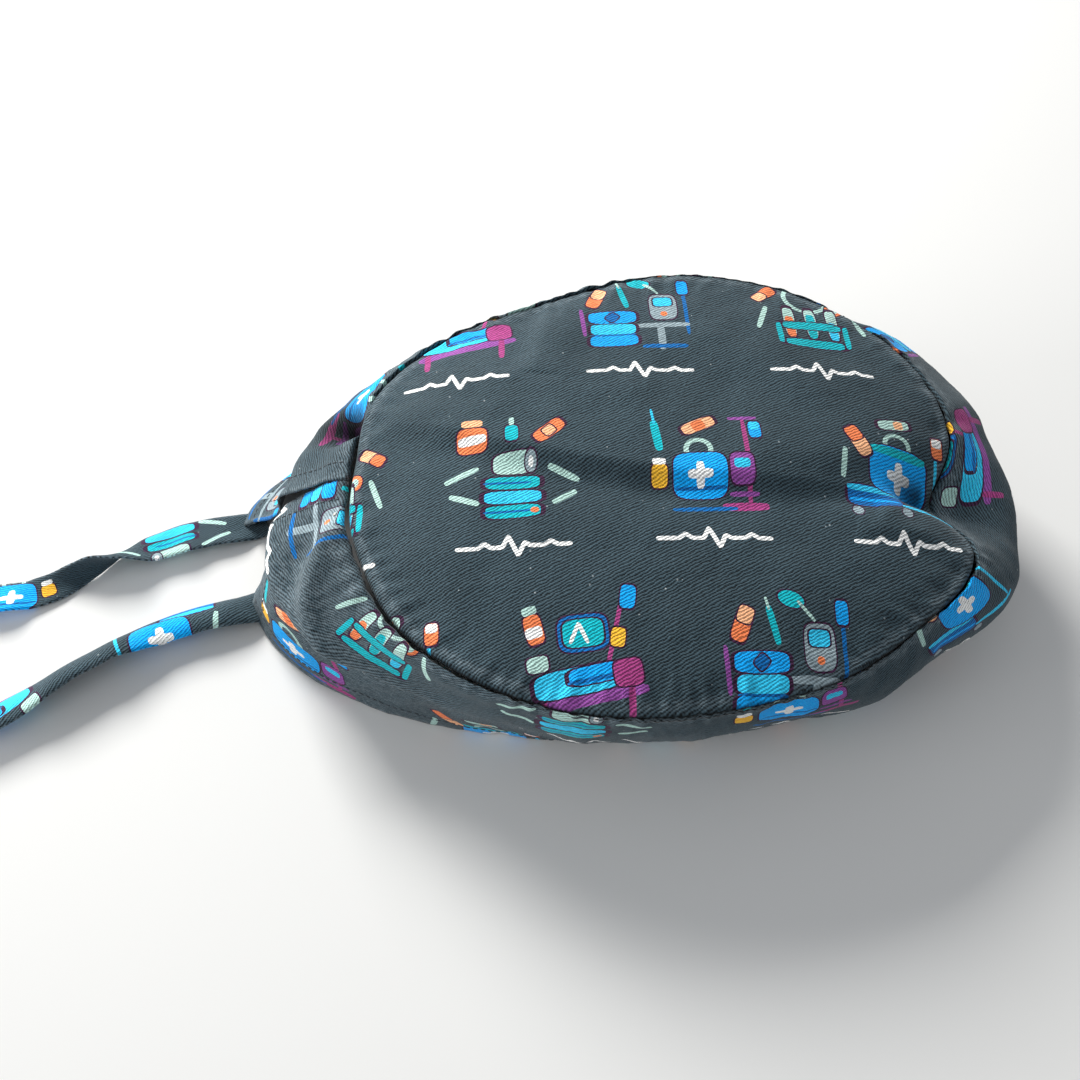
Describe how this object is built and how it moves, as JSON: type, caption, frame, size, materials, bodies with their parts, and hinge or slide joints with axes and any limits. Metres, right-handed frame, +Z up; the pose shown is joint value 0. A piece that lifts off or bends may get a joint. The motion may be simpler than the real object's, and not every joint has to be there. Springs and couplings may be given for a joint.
{
  "type": "surgical scrub cap",
  "caption": "Tie-back surgical scrub cap of printed cotton twill: a soft oval crown on a slumped side band that is open at the back, with a flat tie at each hem corner.",
  "frame": {"origin": "middle of the cap's box without its ties, on the plane that the hem stands on", "axes": "+X to the forehead with the ties leaving towards -X, +Y to the wearer's left side as the cap lies crown up, +Z up"},
  "size_m": [0.4308, 0.2413, 0.0795],
  "materials": {
    "crown_cloth": "charcoal cotton twill with a small printed repeat of clinic motifs",
    "band_cloth": "charcoal cotton twill with the same print, sewn to the crown in dark thread",
    "tie_cloth": "the same printed twill folded into a flat strip and stitched along its edge"
  },
  "bodies": {
    "root": {"crown": "crown_cloth", "band": "band_cloth", "tie_near": "tie_cloth", "tie_far": "tie_cloth"}
  },
  "joints": []
}
